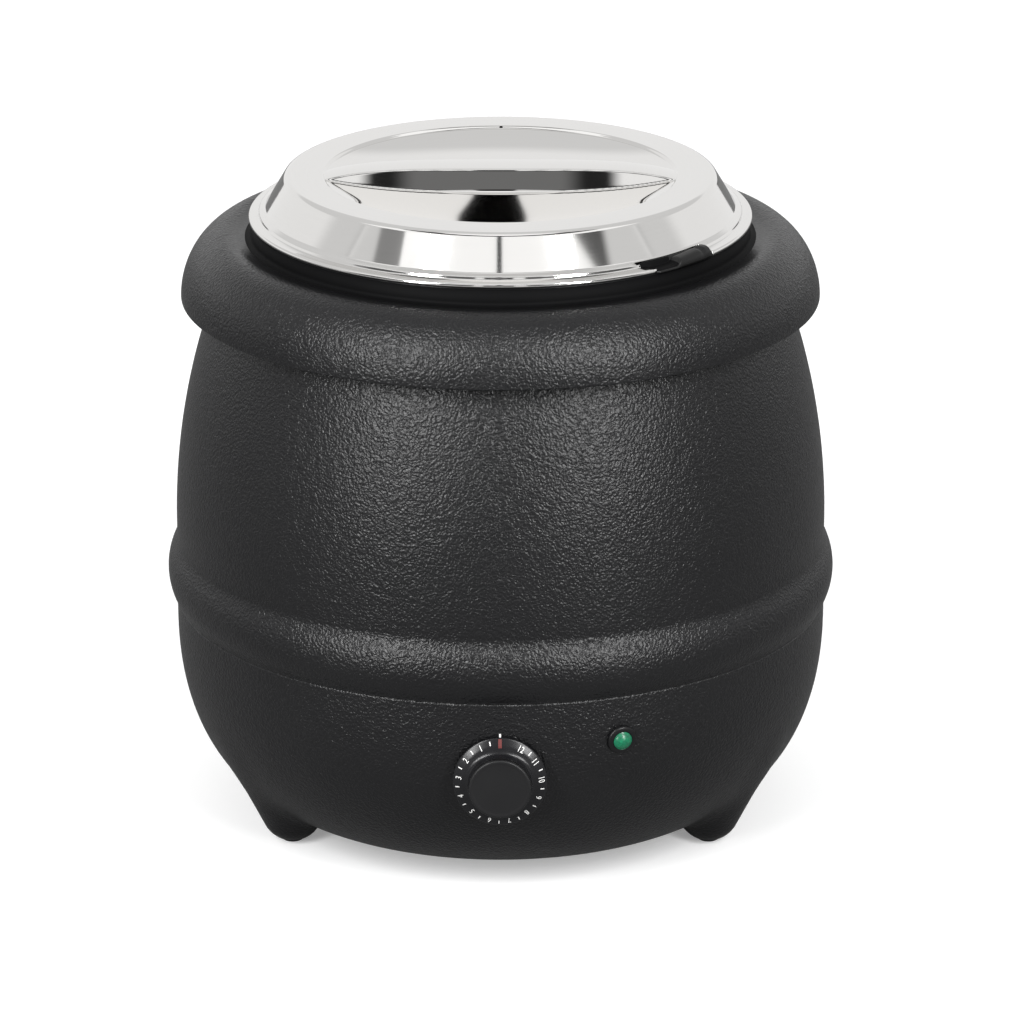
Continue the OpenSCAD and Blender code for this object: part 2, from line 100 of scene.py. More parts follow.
# Quads over a grid of rows and columns, optionally closed in either direction
def gridFaces(rows, cols, wrapRows, wrapCols, start=0):
    i = np.arange(rows if wrapRows else rows - 1)[:, None]
    j = np.arange(cols if wrapCols else cols - 1)[None, :]
    a, b = i * cols + j, i * cols + (j + 1) % cols
    c, d = ((i + 1) % rows) * cols + (j + 1) % cols, ((i + 1) % rows) * cols + j
    return np.stack(np.broadcast_arrays(a, b, c, d), -1).reshape(-1, 4) + start


# Faces of a closed four-sided prism with the given rows of corners
def prismFaces(rows, start=0):
    last = start + (rows - 1) * 4
    ends = [[start + 3, start + 2, start + 1, start], [last, last + 1, last + 2, last + 3]]
    return gridFaces(rows, 4, False, True, start).tolist() + ends


# A mesh object from points in millimetres; merge is the distance below which its points are joined
def newPiece(name, points, faces, material, smooth=True, merge=0.0):
    mesh = bpy.data.meshes.new(name)
    corners = (np.asarray(points).reshape(-1, 3) * mm).tolist()
    mesh.from_pydata(corners, [], faces if isinstance(faces, list) else faces.tolist())
    if merge:
        work = bmesh.new()
        work.from_mesh(mesh)
        bmesh.ops.remove_doubles(work, verts=work.verts, dist=merge * mm)
        bmesh.ops.dissolve_degenerate(work, edges=work.edges, dist=1e-7)
        bmesh.ops.recalc_face_normals(work, faces=work.faces)
        work.to_mesh(mesh)
        work.free()
    mesh.polygons.foreach_set("use_smooth", np.full(len(mesh.polygons), smooth))
    piece = bpy.data.objects.new(name, mesh)
    scene.collection.objects.link(piece)
    if material:
        mesh.materials.append(material)
    return piece


# Turns a closed (r, z) outline round the Z axis; r = 0 ends close in a pole
def revolved(name, outline, segments, material, closed=True, place=None):
    p = np.asarray(outline, float)
    a = np.linspace(0.0, 2 * math.pi, segments, endpoint=False)
    grid = np.stack([p[:, :1] * np.cos(a), p[:, :1] * np.sin(a), np.repeat(p[:, 1:], segments, 1)], -1)
    if place is not None:
        grid = place(grid)
    return newPiece(name, grid, gridFaces(len(p), segments, closed, True), material, merge=0.0005)


def dress(piece, body, slot, *nodes):
    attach(piece, body)
    if nodes:
        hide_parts(*nodes)


# A socket that can be used in Python sums, products and powers
class Wire:
    def __init__(self, finish, socket):
        self.finish = finish
        self.socket = socket

    def sum(self, kind, other, flip=False):
        pair = (other, self) if flip else (self, other)
        return self.finish.node("ShaderNodeMath", {"operation": kind}, {0: pair[0], 1: pair[1]})

    def __add__(self, other): return self.sum("ADD", other)
    def __radd__(self, other): return self.sum("ADD", other, True)
    def __sub__(self, other): return self.sum("SUBTRACT", other)
    def __rsub__(self, other): return self.sum("SUBTRACT", other, True)
    def __mul__(self, other): return self.sum("MULTIPLY", other)
    def __rmul__(self, other): return self.sum("MULTIPLY", other, True)
    def __pow__(self, other): return self.sum("POWER", other)
    def __gt__(self, other): return self.sum("GREATER_THAN", other)


# A node tree and the one method that adds any node to it
class Finish:
    def __init__(self, tree):
        self.tree = tree
        self.tree.nodes.clear()

    def node(self, kind, settings=None, sockets=None, out=0):
        made = self.tree.nodes.new(kind)
        for key, value in (settings or {}).items():
            setattr(made, key, value)
        for key, value in (sockets or {}).items():
            if isinstance(value, Wire):
                self.tree.links.new(value.socket, made.inputs[key])
            else:
                made.inputs[key].default_value = value
        return Wire(self, made.outputs[out]) if len(made.outputs) else None

    def noise(self, where, scale, detail=2.0, rough=0.5, out=0):
        return self.node("ShaderNodeTexNoise", None,
                         {"Vector": where, "Scale": scale, "Detail": detail, "Roughness": rough}, out)

    def mixColour(self, factor, a, b):
        return self.node("ShaderNodeMix", {"data_type": "RGBA"}, {0: factor, 6: a, 7: b}, 2)

    def split(self, where):
        first = self.node("ShaderNodeSeparateXYZ", None, {0: where})
        return [Wire(self, s) for s in first.socket.node.outputs]

    def join(self, x, y, z):
        return self.node("ShaderNodeCombineXYZ", None, {0: x, 1: y, 2: z})

    def clamp(self, value, low, high):
        return self.node("ShaderNodeClamp", None, {0: value, 1: low, 2: high})

    # Rises smoothly from 0 to 1 as the value goes from low to high; low may be the larger of the two
    def between(self, value, low, high):
        return self.node("ShaderNodeMapRange", {"interpolation_type": "SMOOTHSTEP"},
                         {0: value, 1: low, 2: high, 3: 0.0, 4: 1.0})


def colour(r, g, b):
    return (r, g, b, 1.0)


# A material with constants set on the shader; build adds what varies and returns {socket: wire}
def material(name, constants, build=None):
    made = bpy.data.materials.new(name)
    made.use_nodes = True
    f = Finish(made.node_tree)
    where = f.node("ShaderNodeTexCoord", None, None, "Object")
    sockets = dict(constants)
    if build:
        sockets.update(build(f, where))
    shader = f.node("ShaderNodeBsdfPrincipled", None, sockets)
    f.node("ShaderNodeOutputMaterial", None, {"Surface": shader})
    return made


coat = {"cell": 1.4, "bump": 0.00038, "dark": (0.0034, 0.0034, 0.0039), "light": (0.0056, 0.0056, 0.0062),
        "rough": 0.29, "footZ": 0.045, "valleyZ": 0.300, "valleyR": 0.131, "crestR": 0.142}


# Leathery orange-peel powder coat: soft cells stretched by noise, finer grain on top; it thins out over the feet
def powderCoat(f, where):
    x, y, z = f.split(where)
    foot = f.between(z, 0.0, coat["footZ"]) * 0.6 + 0.4
    valley = f.between((x * x + y * y) ** 0.5, coat["crestR"], coat["valleyR"]) * (z > coat["valleyZ"])
    push = f.noise(where, 210.0, 2.0, 0.6, 1)
    bent = f.node("ShaderNodeVectorMath", {"operation": "MULTIPLY_ADD"},
                  {0: push, 1: (0.0042, 0.0042, 0.0042), 2: where})
    cells = f.node("ShaderNodeTexVoronoi", {"feature": "SMOOTH_F1"},
                   {"Vector": bent, "Scale": 1000.0 / coat["cell"], "Smoothness": 0.38})
    grain = f.noise(where, 1150.0, 2.0, 0.55)
    broad = f.noise(where, 16.0, 3.0, 0.55)
    height = (cells * 0.9 + grain * 0.45) * foot * (1.0 - valley * 0.85)
    normal = f.node("ShaderNodeBump", None, {"Strength": 1.0, "Distance": coat["bump"], "Height": height})
    shade = f.mixColour(f.clamp(broad * 1.4 - 0.2, 0.0, 1.0), colour(*coat["dark"]), colour(*coat["light"]))
    return {"Base Color": shade, "Roughness": coat["rough"] - 0.05 + cells * 0.12 + broad * 0.05, "Normal": normal}


steel = {"tint": (0.80, 0.79, 0.775), "shadow": (0.74, 0.73, 0.715)}
# Painted shade: near-black matte colours that stand in for the shadow under the lid's flange and inside the ladle
# trim's scoop
paintedShadeCoat = {"dark": (0.0016, 0.0016, 0.0018), "light": (0.0028, 0.0028, 0.003), "rough": 0.62}


# Polished sheet with faint turned hairlines that run round the axis, a few smears and fine scratches
def turnedSteel(rough, spread, bump):
    def build(f, where):
        x, y, z = f.split(where)
        radius = (x * x + y * y) ** 0.5
        angle = f.node("ShaderNodeMath", {"operation": "ARCTAN2"}, {0: y, 1: x})
        along = f.join(radius * 2600.0, z * 2600.0, angle * 3.0)
        lines = f.noise(along, 1.0, 3.0, 0.6)
        coarse = f.noise(f.join(radius * 420.0, z * 420.0, angle * 1.2), 1.0, 2.0, 0.5)
        smear = f.noise(where, 22.0, 3.0, 0.6)
        brushed = f.between(radius, 0.089, 0.098) * 0.95 + 0.05
        normal = f.node("ShaderNodeBump", None,
                        {"Strength": 0.35, "Distance": bump, "Height": (lines + coarse) * brushed})
        shade = f.mixColour(f.clamp(lines * 0.7 + smear * 0.3, 0.0, 1.0),
                            colour(*steel["shadow"]), colour(*steel["tint"]))
        gloss = (rough + lines * spread + smear * spread * 0.5) * (brushed * 0.7 + 0.3)
        return {"Base Color": shade, "Roughness": gloss, "Normal": normal}
    return build


# Moulded plastic or rubber: fine grain and faint cloudiness
def moulded(dark, light, rough, scale, bump):
    def build(f, where):
        fine = f.noise(where, scale, 3.0, 0.6)
        cloud = f.noise(where, 40.0, 3.0, 0.55)
        normal = f.node("ShaderNodeBump", None, {"Strength": 0.6, "Distance": bump, "Height": fine})
        return {"Base Color": f.mixColour(cloud, colour(*dark), colour(*light)),
                "Roughness": rough - 0.06 + fine * 0.08 + cloud * 0.06, "Normal": normal}
    return build


# Plain metal sheet or bar: blotchy colour, straight or random scratches by the stretch of the pattern
def metal(dark, light, rough, stretch, bump):
    def build(f, where):
        placed = f.node("ShaderNodeMapping", None, {"Vector": where, "Scale": stretch})
        lines = f.noise(placed, 1.0, 4.0, 0.65)
        cloud = f.noise(where, 60.0, 3.0, 0.6)
        normal = f.node("ShaderNodeBump", None, {"Strength": 0.5, "Distance": bump, "Height": lines})
        blotch = f.clamp(cloud * 0.6 + lines * 0.4, 0.0, 1.0)
        return {"Base Color": f.mixColour(blotch, colour(*dark), colour(*light)),
                "Roughness": rough + lines * 0.12 + cloud * 0.06, "Normal": normal}
    return build


# Mineral wool: matted fibres in two layers of stretched noise
def wool(f, where):
    a = f.noise(f.node("ShaderNodeMapping", None, {"Vector": where, "Scale": (300.0, 300.0, 1500.0)}), 1.0, 4.0, 0.7)
    b = f.noise(f.node("ShaderNodeMapping", None, {"Vector": where, "Scale": (1400.0, 1400.0, 260.0)}), 1.0, 3.0, 0.7)
    fibre = a * 0.6 + b * 0.4
    normal = f.node("ShaderNodeBump", None, {"Strength": 1.0, "Distance": 0.0008, "Height": fibre})
    return {"Base Color": f.mixColour(fibre, colour(0.42, 0.37, 0.26), colour(0.78, 0.74, 0.62)), "Normal": normal}


# Braided sleeve: a fine cell pattern on the wire
def braid(f, where):
    weave = f.node("ShaderNodeTexVoronoi", {"feature": "F1"}, {"Vector": where, "Scale": 1700.0})
    normal = f.node("ShaderNodeBump", None, {"Strength": 0.7, "Distance": 0.0002, "Height": weave})
    shade = f.mixColour(f.clamp(weave * 1.2, 0.0, 1.0), colour(0.34, 0.03, 0.02), colour(0.55, 0.09, 0.06))
    return {"Base Color": shade, "Normal": normal}


# Printed paint: nearly even, worn a little at its grain
def printed(base, worn):
    def build(f, where):
        grain = f.noise(where, 1800.0, 3.0, 0.6)
        return {"Base Color": f.mixColour(f.clamp(grain * 2.2 - 1.0, 0.0, 1.0), colour(*base), colour(*worn)),
                "Roughness": 0.35 + grain * 0.2}
    return build


# Green lens: fine pebbled cells, with a faint painted glow from its emission
def lensGlow(f, where):
    fine = f.noise(where, 900.0, 3.0, 0.6)
    cells = f.node("ShaderNodeTexVoronoi", {"feature": "F1"}, {"Vector": where, "Scale": 620.0})
    normal = f.node("ShaderNodeBump", None, {"Strength": 0.4, "Distance": 0.0002, "Height": cells + fine * 0.3})
    shade = f.mixColour(f.clamp(cells * 1.3, 0.0, 1.0), colour(0.002, 0.17, 0.075), colour(0.0, 0.09, 0.042))
    return {"Base Color": shade, "Emission Color": shade, "Normal": normal}


print("finishes")
finishes = {
    "black_powder_coat": material("blackPowderCoat", {"Specular IOR Level": 0.35}, powderCoat),
    "polished_steel": material("polishedSteel", {"Metallic": 1.0}, turnedSteel(0.05, 0.03, 0.0000022)),
    "drawn_steel": material("drawnSteel", {"Metallic": 1.0}, turnedSteel(0.20, 0.12, 0.00003)),
    "dial_plastic": material("dialPlastic", {"Specular IOR Level": 0.3},
                             moulded((0.005, 0.005, 0.006), (0.009, 0.009, 0.010), 0.26, 1600.0, 0.00001)),
    "cap_plastic": material("capPlastic", {"Specular IOR Level": 0.3},
                            moulded((0.0058, 0.0058, 0.0063), (0.0085, 0.0085, 0.009), 0.40, 2200.0, 0.00003)),
    "black_plastic": material("blackPlastic", {"Specular IOR Level": 0.3},
                              moulded((0.0025, 0.0025, 0.003), (0.0045, 0.0045, 0.005), 0.36, 1500.0, 0.00001)),
    "trim_rubber": material("trimRubber", {"Specular IOR Level": 0.3},
                            moulded((0.003, 0.003, 0.003), (0.006, 0.006, 0.006), 0.34, 1300.0, 0.00002)),
    "foot_rubber": material("footRubber", {},
                            moulded((0.004, 0.004, 0.004), (0.009, 0.009, 0.009), 0.75, 1200.0, 0.00008)),
    "silicone": material("silicone", {},
                         moulded((0.36, 0.35, 0.33), (0.46, 0.45, 0.43), 0.5, 900.0, 0.00004)),
    "thermostat_case": material("creamCase", {},
                                moulded((0.52, 0.46, 0.36), (0.63, 0.57, 0.46), 0.55, 1200.0, 0.00004)),
    "phenolic": material("brownPhenolic", {},
                         moulded((0.09, 0.04, 0.02), (0.14, 0.07, 0.035), 0.4, 900.0, 0.00004)),
    "zinc_plate": material("zincPlate", {"Metallic": 1.0},
                           metal((0.50, 0.51, 0.50), (0.66, 0.66, 0.64), 0.32, (900.0, 60.0, 900.0), 0.00003)),
    "screw_steel": material("screwSteel", {"Metallic": 1.0},
                            metal((0.45, 0.45, 0.46), (0.60, 0.60, 0.60), 0.3, (700.0, 700.0, 2600.0), 0.00004)),
    "cast_aluminium": material("castAluminium", {"Metallic": 1.0},
                               metal((0.55, 0.55, 0.55), (0.72, 0.72, 0.71), 0.45, (500.0, 500.0, 500.0), 0.00015)),
    "element_sheath": material("elementSheath", {"Metallic": 0.6},
                               metal((0.05, 0.045, 0.045), (0.13, 0.11, 0.10), 0.5, (800.0, 800.0, 800.0), 0.00006)),
    "copper": material("copperTube", {"Metallic": 1.0},
                       metal((0.55, 0.26, 0.15), (0.80, 0.42, 0.27), 0.28, (900.0, 900.0, 200.0), 0.00003)),
    "brass": material("turnedBrass", {"Metallic": 1.0},
                      metal((0.56, 0.40, 0.16), (0.76, 0.58, 0.28), 0.28, (900.0, 900.0, 1800.0), 0.00003)),
    "mineral_wool": material("mineralWool", {"Roughness": 0.95}, wool),
    "wire_sleeve": material("wireSleeve", {"Roughness": 0.6}, braid),
    # The lens's small emission is a painted glow that brightens it
    "green_lens": material("greenLens", {"Roughness": 0.34, "Coat Weight": 0.15, "Emission Strength": 0.10}, lensGlow),
}
# Painted shade material: a dull near-black coat with little gloss, laid where the lid's flange and the trim's hollow
# cast shade
paintedShadeFinish = material("paintedShadeCoat", {"Specular IOR Level": 0.06},
                      moulded(paintedShadeCoat["dark"], paintedShadeCoat["light"], paintedShadeCoat["rough"], 1500.0, 0.00003))
whitePrint = material("whitePrint", {}, printed((0.80, 0.80, 0.78), (0.45, 0.45, 0.44)))
redPrint = material("redPrint", {}, printed((0.10, 0.009, 0.007), (0.06, 0.006, 0.005)))

slotOf = {s["node"]: s["material_slot"] for s in frame["record"]["subparts"]}
for node, thing in frame["nodes"].items():
    thing.data.materials.clear()
    thing.data.materials.append(finishes[slotOf[node]])


print("body shells")
barrel = {"widest": 165.5, "widestZ": 155.0, "sideArc": 341.0, "wall": 2.5, "seam": 115.2, "bulgeTop": 145.0,
          "bulgeOut": 4.6, "foot": 166.0, "fillet": 2.6}
collar = {"crest": 138.0, "widestZ": 274.3, "lip": 0.8, "power": 1.9, "neck": 125.4, "neckIn": 122.3, "web": 145.4}
bowl = {"flat": 97.0, "upright": 106.0, "power": 2.25, "under": 10.0, "wall": 3.0, "rim": 115.3, "edge": 93.0,
        "centre": 150.0, "blend": 4.0}
feet = {"count": 3, "circle": 122.5, "ball": 16.0, "halfAngle": 30.6, "lean": 4.6, "cone": 38.0, "neck": 20.0,
        "flat": 1.2, "pad": 5.5}


# Barrel radius: a long arc about its widest height, with the bulge's round arc softly laid over it
def barrelRadius(z):
    arcPart = barrel["widest"] - barrel["sideArc"] + np.sqrt(barrel["sideArc"] ** 2 - (z - barrel["widestZ"]) ** 2)
    half = (barrel["bulgeTop"] - barrel["seam"]) / 2
    r = (half ** 2 + barrel["bulgeOut"] ** 2) / 2 / barrel["bulgeOut"]
    middle = barrel["seam"] + half
    ring = barrel["foot"] - r + barrel["bulgeOut"] + np.sqrt(np.maximum(r * r - (z - middle) ** 2, 0.0)) - 0.3
    ring = np.where(np.abs(z - middle) < r * 0.8, ring, 0.0)
    return softMax(arcPart, ring, barrel["fillet"]) if z.ndim else arcPart


def makeBarrel():
    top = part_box("upper_shell")[1][2] / mm
    z = np.concatenate([np.linspace(barrel["seam"] + 0.9, 152.0, 70), np.linspace(153.0, top, 70)])
    outer = np.stack([barrelRadius(z), z], -1)
    lip = arc(outer[0, 0] - 0.9, barrel["seam"] + 0.9, 0.9, -90, -5, 6)
    inner = np.stack([barrelRadius(z[::-1]) - barrel["wall"], z[::-1]], -1)
    inner = inner[inner[:, 1] < top - barrel["wall"]]
    flangeIn = 127.0
    flange = [[flangeIn, top], [flangeIn, top - barrel["wall"]]]
    outline = np.vstack([lip, outer, flange, inner])
    piece = revolved("barrelSkin", outline, 320, finishes["black_powder_coat"])
    dress(piece, "housing", "black_powder_coat", "upper_shell")


def makeCollar():
    low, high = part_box("collar_ring")
    widest, top = high[0] / mm, high[2] / mm
    crestZ = 305.5
    a, b = widest - collar["crest"], crestZ - collar["widestZ"]
    neck = eased([[collar["neck"] - 0.5, top - 0.3], [collar["neck"] - 0.5, 304.7], [127.4, 303.9], [131.0, 304.4]]
                 + [[134.6, 305.25], [collar["crest"], crestZ]], 1.2)
    outer = quarter(collar["crest"], collar["widestZ"], a, b, collar["power"], 90)
    lip = arc(widest - collar["lip"], collar["widestZ"] - 0.1, collar["lip"], 0, -100, 12)
    under = eased([[widest - 1.2, collar["widestZ"] - 0.9], [widest - 6, collar["widestZ"] - 0.8],
                   [collar["web"] + 1, collar["widestZ"] - 0.6], [collar["web"], collar["widestZ"]],
                   [collar["web"], collar["widestZ"] + 1.4]], 0.6)
    inner = quarter(collar["crest"], collar["widestZ"] + 1.4, a - 2.9, b - 4.0, collar["power"], 40)[::-1]
    core = [[130.0, 301.6], [collar["neckIn"], 301.2], [collar["neckIn"], 310.0], [123.9, 310.0], [123.9, top],
            [collar["neck"] - 0.3, top]]
    outline = np.vstack([neck, evenly(outer, 0.6)[1:], lip, under, inner, core])
    piece = revolved("collarSkin", outline, 320, finishes["black_powder_coat"])
    dress(piece, "housing", "black_powder_coat", "collar_ring")
    # Painted shadow: a near-black sheet over the neck wall and the start of the valley, standing in for the shade
    # under the lid's flange
    bandFace = eased([[collar["neck"], top - 0.3], [collar["neck"], 305.2], [127.4, 304.15], [128.6, 304.0]], 1.2)
    band = np.vstack([bandFace, [[128.2, 303.6], [124.3, 303.0], [124.3, top - 0.3]]])
    dress(revolved("neckPaintedShadow", band, 320, paintedShadeFinish), "housing", "black_powder_coat", "collar_ring")


# Signed fields, negative inside. Belly: superellipse quarter measured along rays from its corner centre
def bellyField(r, z, inset=0.0):
    a, b = barrel["foot"] - bowl["flat"] - inset, bowl["upright"] - bowl["under"] - inset
    dr, dz = np.maximum(r - bowl["flat"], 0.0), np.maximum(bowl["upright"] - z, 0.0)
    k = ((dr / a) ** bowl["power"] + (dz / b) ** bowl["power"]) ** (1 / bowl["power"])
    return (1.0 - 1.0 / np.maximum(k, 1e-6)) * np.hypot(dr, dz)


# Foot: a round-ended cone that turns into a straight neck; distance across its side, or from its end ball
def footField(x, y, z, turn):
    lean, half = math.radians(feet["lean"]), math.radians(feet["halfAngle"])
    out = x * math.cos(turn) + y * math.sin(turn) - feet["circle"]
    side = -x * math.sin(turn) + y * math.cos(turn)
    up = z - feet["ball"]
    across, along = out * math.cos(lean) + up * math.sin(lean), -out * math.sin(lean) + up * math.cos(lean)
    radius = np.hypot(across, side)
    cone = (radius * math.cos(half) - along * math.sin(half)) - feet["ball"]
    ball = np.sqrt(radius ** 2 + along ** 2) - feet["ball"]
    onCone = along * math.cos(half) + radius * math.sin(half) > 0
    neck = feet["ball"] / math.cos(half) + feet["cone"] * math.tan(half)
    return np.maximum(softMax(np.where(onCone, cone, ball), radius - neck, 8.0), along - feet["cone"] - feet["neck"])


# Bowl with its feet: rays from one inner point, each followed to where the blended field turns positive
def makeBowl():
    segments, rows = 600, 122
    a = np.linspace(0.0, 2 * math.pi, segments, endpoint=False)
    start = math.atan2(bowl["edge"], bowl["centre"] - bowl["under"])
    stop = math.atan2(barrel["foot"], bowl["centre"] - bowl["rim"])
    tilt = np.linspace(start, stop, rows)[:, None]
    direction = np.stack(np.broadcast_arrays(np.sin(tilt) * np.cos(a), np.sin(tilt) * np.sin(a), -np.cos(tilt)), -1)
    near, far = np.full(direction.shape[:2], 40.0), np.full(direction.shape[:2], 260.0)
    for _ in range(40):
        t = (near + far) / 2
        x, y, z = (direction * t[..., None]).transpose(2, 0, 1)
        z = z + bowl["centre"]
        field = bellyField(np.hypot(x, y), z)
        for i in range(feet["count"]):
            field = softMin(field, footField(x, y, z, math.pi / 2 + i * 2 * math.pi / feet["count"]), bowl["blend"])
        field = softMax(field, feet["flat"] - z, 0.8)
        near, far = np.where(field < 0, t, near), np.where(field < 0, far, t)
    skin = direction * ((near + far) / 2)[..., None] + np.array([0, 0, bowl["centre"]])
    inner = quarter(bowl["flat"], bowl["upright"], barrel["foot"] - bowl["flat"] - bowl["wall"],
                    -(bowl["upright"] - bowl["under"] - bowl["wall"]), bowl["power"], 14)[::-1]
    back = np.vstack([[[barrel["foot"] - 0.6, bowl["rim"]], [barrel["foot"] - bowl["wall"], bowl["rim"]]], inner,
                      [[84.0, 17.0], [84.0, 12.05], [bowl["edge"], 12.05], [bowl["edge"], 10.6]]])
    ring = np.stack([back[:, :1] * np.cos(a), back[:, :1] * np.sin(a), np.repeat(back[:, 1:], segments, 1)], -1)
    grid = np.concatenate([skin, ring])
    piece = newPiece("bowlSkin", grid, gridFaces(len(grid), segments, True, True), finishes["black_powder_coat"],
                     merge=0.0005)
    dress(piece, "housing", "black_powder_coat", "lower_shell")


# Round boss: short cylinder with rounded edge standing on the wall, its axis level
def makeBoss(name, radius, face, deep, sign, height):
    outline = np.vstack([[[0.0, -deep], [radius, -deep]], arc(radius - 0.8, -0.8, 0.8, 0, 90, 6), [[0.0, 0.0]]])
    place = lambda g: np.stack([g[..., 0], sign * (face + g[..., 2]), height + g[..., 1]], -1)
    piece = revolved(name, outline, 96, finishes["black_powder_coat"], closed=False, place=place)
    dress(piece, "housing", "black_powder_coat", "lower_shell")


# Rubber pad set into the end of each foot: a flat disc with a rounded edge
def makePads():
    outline = np.vstack([[[0.0, 2.2], [feet["pad"], 2.2]], arc(feet["pad"] - 1.0, 1.0, 1.0, 0, -90, 8), [[0.0, 0.0]]])
    for i in range(feet["count"]):
        turn = math.pi / 2 + i * 2 * math.pi / feet["count"]
        place = lambda g: g + np.array([feet["circle"] * math.cos(turn), feet["circle"] * math.sin(turn), 0.0])
        piece = revolved(f"footPad{i + 1}", outline, 64, finishes["foot_rubber"], closed=False, place=place)
        dress(piece, "housing", "foot_rubber", "foot_pads")


makeBarrel()
makeCollar()
makeBowl()
makePads()
dialFace = 165.6
dialHeight = (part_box("dial_skirt")[0][2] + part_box("dial_skirt")[1][2]) / 2 / mm
makeBoss("dialBoss", 21.6, dialFace, 16.0, -1.0, dialHeight)
makeBoss("cordBoss", 15.0, dialFace, 8.0, 1.0, dialHeight)


vessel = {"sheet": 0.8, "bend": 1.6, "potR": 118.0, "potCorner": 25.0, "bathR": 121.8, "bathCorner": 20.8}


# Drawn vessel: flat floor, round corner, straight wall and a flat flange with a soft bend
def makeVessel(name, radius, floor, corner, flangeZ, flangeR, body, node):
    t, bend = vessel["sheet"], vessel["bend"]
    out = np.vstack([[[0.0, floor]], arc(radius - corner, floor + corner, corner, -90, 0, 24),
                     arc(radius + bend, flangeZ - bend, bend, 180, 90, 8),
                     arc(flangeR - t / 2, flangeZ + t / 2, t / 2, -90, 90, 7),
                     arc(radius + bend, flangeZ - bend, bend + t, 90, 180, 8),
                     arc(radius - corner, floor + corner, corner - t, 0, -90, 24), [[0.0, floor + t]]])
    piece = revolved(name, out, 240, finishes["drawn_steel"], closed=False)
    dress(piece, body, "drawn_steel", node)


print("vessels")
for name, node, body, wall, corner in (("potShell", "soup_pot", "pot", vessel["potR"], vessel["potCorner"]),
                                       ("bathShell", "water_pan", "housing", vessel["bathR"], vessel["bathCorner"])):
    low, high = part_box(node)
    makeVessel(name, wall, low[2] / mm, corner, high[2] / mm - vessel["sheet"], high[0] / mm, body, node)


lid = {"ring": 335.5, "dish": 87.0, "dishDepth": 5.0, "step": 1.5, "grip": 4.5, "gripHalf": 7.2, "gripEnd": 84.0,
       "draft": 22.0, "bow": 2.5, "crownPower": 4.5, "dishPower": 3.0, "shoulder": 105.4, "bend": 3.8, "cone": 117.7,
       "coneTilt": 30.6, "sheet": 0.8, "rim": 1.3, "notchTurn": 44.0, "notchHalf": 11.0, "notchR": 118.2}

# Section of the lid outside the dish: flat ring, round shoulder, cone, flange with a step, rolled bead
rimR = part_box("lid")[1][0] / mm - lid["rim"]
lidSection = np.vstack([
    [[89.4, lid["ring"]], [96.0, lid["ring"]]],
    arc(lid["shoulder"], lid["ring"] - lid["bend"], lid["bend"], 90, lid["coneTilt"], 16),
    eased([[108.67, 333.63], [lid["cone"], 318.5], [120.8, 317.7], [121.3, 316.2], [124.6, 315.75]], 0.5, 6)[1:-1],
    arc(rimR, 314.4, lid["rim"], 95, -180, 24)])


# Height of the lid's top: ring, step, dish (a power curve of the radius), and the drafted bridge over it
def lidHeight(x, y):
    r = np.hypot(x, y)
    dish = lid["ring"] - lid["step"] * smoothStep(88.9, 87.3, r) \
        - lid["dishDepth"] * np.clip(1.0 - (r / lid["dish"]) ** lid["dishPower"], 0.0, 1.0)
    along = np.abs(x / lid["gripEnd"])
    half = lid["gripHalf"] + lid["bow"] * (1.0 - along ** 2)
    crown = lid["ring"] + lid["grip"] * (1.0 - along ** lid["crownPower"]) - 0.25 * (y / lid["gripHalf"]) ** 2
    wall = lid["ring"] + lid["grip"] - (np.abs(y) - half) / math.tan(math.radians(lid["draft"]))
    inside = softMax(dish, softMin(crown, wall, 0.7), 0.9)
    return np.where(r < 89.4, inside, lid["ring"])


trim = {"inner": 118.4, "reach": 8.8, "halfTurn": 10.8, "point": 0.42}


# Outer radius of the ladle trim along its run from -1 to 1: it grows out of the rim at its left end
def trimEdge(u):
    return trim["inner"] + trim["reach"] * np.clip((u + 1.0) / trim["point"], 0.0, 1.0) ** 0.6


